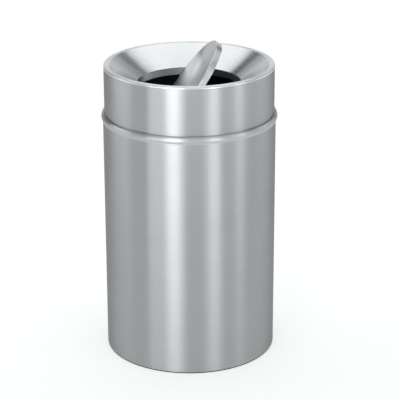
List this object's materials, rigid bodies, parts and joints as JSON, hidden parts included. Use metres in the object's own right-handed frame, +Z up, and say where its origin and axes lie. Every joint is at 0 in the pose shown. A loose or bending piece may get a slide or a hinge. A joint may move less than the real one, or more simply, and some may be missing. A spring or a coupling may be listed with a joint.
{
  "type": "tip action waste receptacle",
  "caption": "Round satin aluminium floor bin: lift-off funnel head, self-closing tipping disc in its throat, rounded bead round the body, black liner inside.",
  "frame": {"origin": "on the floor at the centre of the base", "axes": "+Z up; -Y faces the viewer of the picture; +X to that viewer's right, the raised side of the tipped disc; the disc's shaft runs along Y"},
  "size_m": [0.5176, 0.5176, 0.9375],
  "materials": {
    "satin_shell": "satin, fine grain round the cylinder",
    "satin_bead": "satin, fine grain round the ring",
    "satin_spun": "satin, spun, fine circular grain",
    "satin_collar": "satin, grain round the ring",
    "satin_disc": "satin, spun, fine circular grain",
    "mill_aluminium": "dull mill finish",
    "zinced_steel": "bright zinc plated",
    "nylon": "natural nylon",
    "black_liner": "black, moulded, faintly grained",
    "black_vinyl": "black vinyl, matt"
  },
  "bodies": {
    "body": {"body_shell": "satin_shell", "top_bead": "satin_bead", "head_seat_ring": "mill_aluminium", "seat_ring_rivet_1": "mill_aluminium", "seat_ring_rivet_2": "mill_aluminium", "seat_ring_rivet_3": "mill_aluminium", "seat_ring_rivet_4": "mill_aluminium", "seat_ring_rivet_5": "mill_aluminium", "seat_ring_rivet_6": "mill_aluminium", "base_pan": "mill_aluminium", "floor_ring": "black_vinyl"},
    "liner": {"liner": "black_liner"},
    "head": {"head_shell": "satin_shell", "funnel": "satin_spun", "throat_collar": "satin_collar", "front_bushing": "nylon", "rear_bushing": "nylon"},
    "disc": {"disc_face_pan": "satin_disc", "disc_back_pan": "satin_disc", "pivot_shaft": "zinced_steel", "front_saddle": "zinced_steel", "rear_saddle": "zinced_steel", "left_counterweight": "zinced_steel", "right_counterweight": "zinced_steel", "counterweight_rivet_1": "mill_aluminium", "counterweight_rivet_2": "mill_aluminium", "counterweight_rivet_3": "mill_aluminium", "counterweight_rivet_4": "mill_aluminium", "front_retaining_clip": "zinced_steel", "rear_retaining_clip": "zinced_steel"}
  },
  "joints": [
    {"name": "head_lift", "type": "slide", "parent": "body", "child": "head", "axis": [0, 0, 1], "range_m": [0, 0.95]},
    {"name": "liner_lift", "type": "slide", "parent": "body", "child": "liner", "axis": [0, 0, 1], "range_m": [0, 0.76]},
    {"name": "disc_tip", "type": "hinge", "parent": "head", "child": "disc", "pos_m": [0, 0, 0.811], "axis": [0, 1, 0], "continuous": true}
  ],
  "couplings": [
    {"joint": "liner_lift", "follows": "head_lift", "ratio": 0.8}
  ]
}
